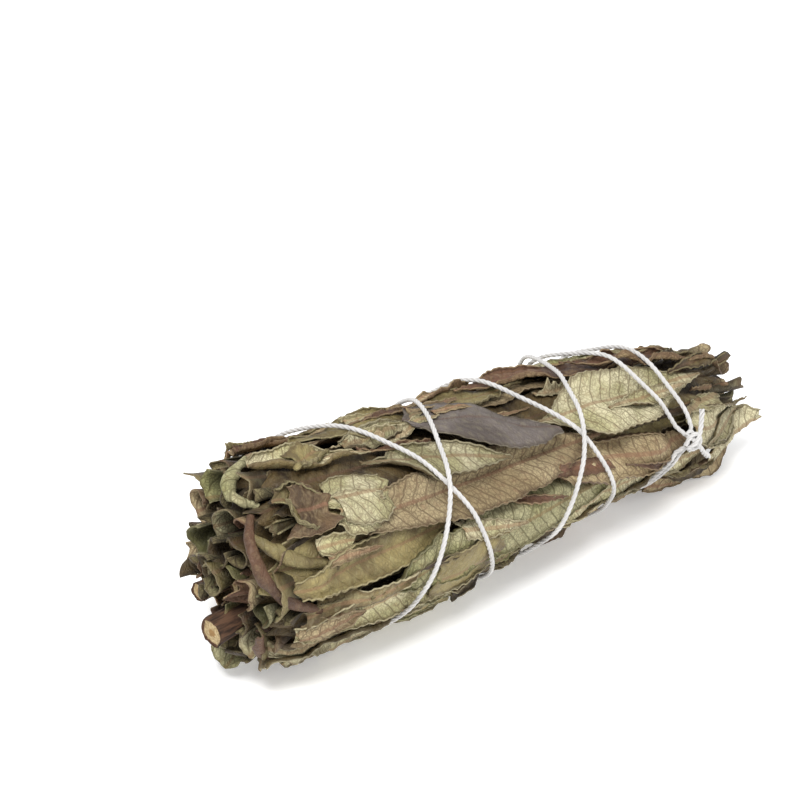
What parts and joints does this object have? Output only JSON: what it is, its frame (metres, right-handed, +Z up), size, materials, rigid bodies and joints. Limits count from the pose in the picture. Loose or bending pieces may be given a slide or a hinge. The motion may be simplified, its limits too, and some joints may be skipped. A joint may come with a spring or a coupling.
{
  "type": "yerba santa smudge bundle",
  "caption": "Dried yerba santa sprigs laid side by side and bound with twine into a tapering stick, with cut woody stems at one end and leaf tips at the other.",
  "frame": {"origin": "bottom centre of the bounding box, on the surface the bundle lies on", "axes": "+X along the bundle from the cut stems to the leaf tips, +Z up, -Y towards the side with the twine's knot"},
  "size_m": [0.1316, 0.0406, 0.0397],
  "materials": {
    "leaf": "dried leaf, matt, pale and netted underside, browner and slightly waxy upper side",
    "stem": "thin furrowed bark with pale cut ends",
    "twine": "bleached cotton, plied, unwaxed"
  },
  "bodies": {
    "root": {"stem_1": "stem", "stem_2": "stem", "stem_3": "stem", "stem_4": "stem", "stem_5": "stem", "stem_6": "stem", "stem_7": "stem", "inner_leaf_1_1": "leaf", "inner_leaf_1_2": "leaf", "inner_leaf_1_3": "leaf", "inner_leaf_1_4": "leaf", "inner_leaf_2_1": "leaf", "inner_leaf_2_2": "leaf", "inner_leaf_2_3": "leaf", "inner_leaf_3_1": "leaf", "inner_leaf_3_2": "leaf", "inner_leaf_3_3": "leaf", "heart_leaf_1": "leaf", "heart_leaf_2": "leaf", "under_leaf_1": "leaf", "under_leaf_2": "leaf", "under_leaf_3": "leaf", "under_leaf_4": "leaf", "under_leaf_5": "leaf", "under_leaf_6": "leaf", "under_leaf_7": "leaf", "under_leaf_8": "leaf", "bottom_leaf_long": "leaf", "bottom_leaf_tip": "leaf", "bottom_leaf_front": "leaf", "bottom_leaf_tip_front": "leaf", "back_leaf_low": "leaf", "back_leaf_low_tip": "leaf", "back_leaf_middle": "leaf", "back_leaf_middle_tip": "leaf", "back_leaf_high": "leaf", "back_leaf_high_tip": "leaf", "top_leaf_back": "leaf", "top_leaf_back_tip": "leaf", "top_leaf_olive": "leaf", "top_leaf_russet": "leaf", "front_leaf_olive": "leaf", "front_leaf_lowest": "leaf", "front_leaf_lower": "leaf", "front_leaf_low_tip": "leaf", "front_leaf_net": "leaf", "front_leaf_middle": "leaf", "front_leaf_midrib": "leaf", "butt_leaf_brown": "leaf", "butt_leaf_scrap": "leaf", "upper_leaf_pale": "leaf", "upper_leaf_big": "leaf", "upper_leaf_grey": "leaf", "butt_leaf_curled": "leaf", "top_leaf_rolled": "leaf", "tip_leaf_front": "leaf", "tip_leaf_low": "leaf", "binding_twine": "twine"}
  },
  "joints": []
}
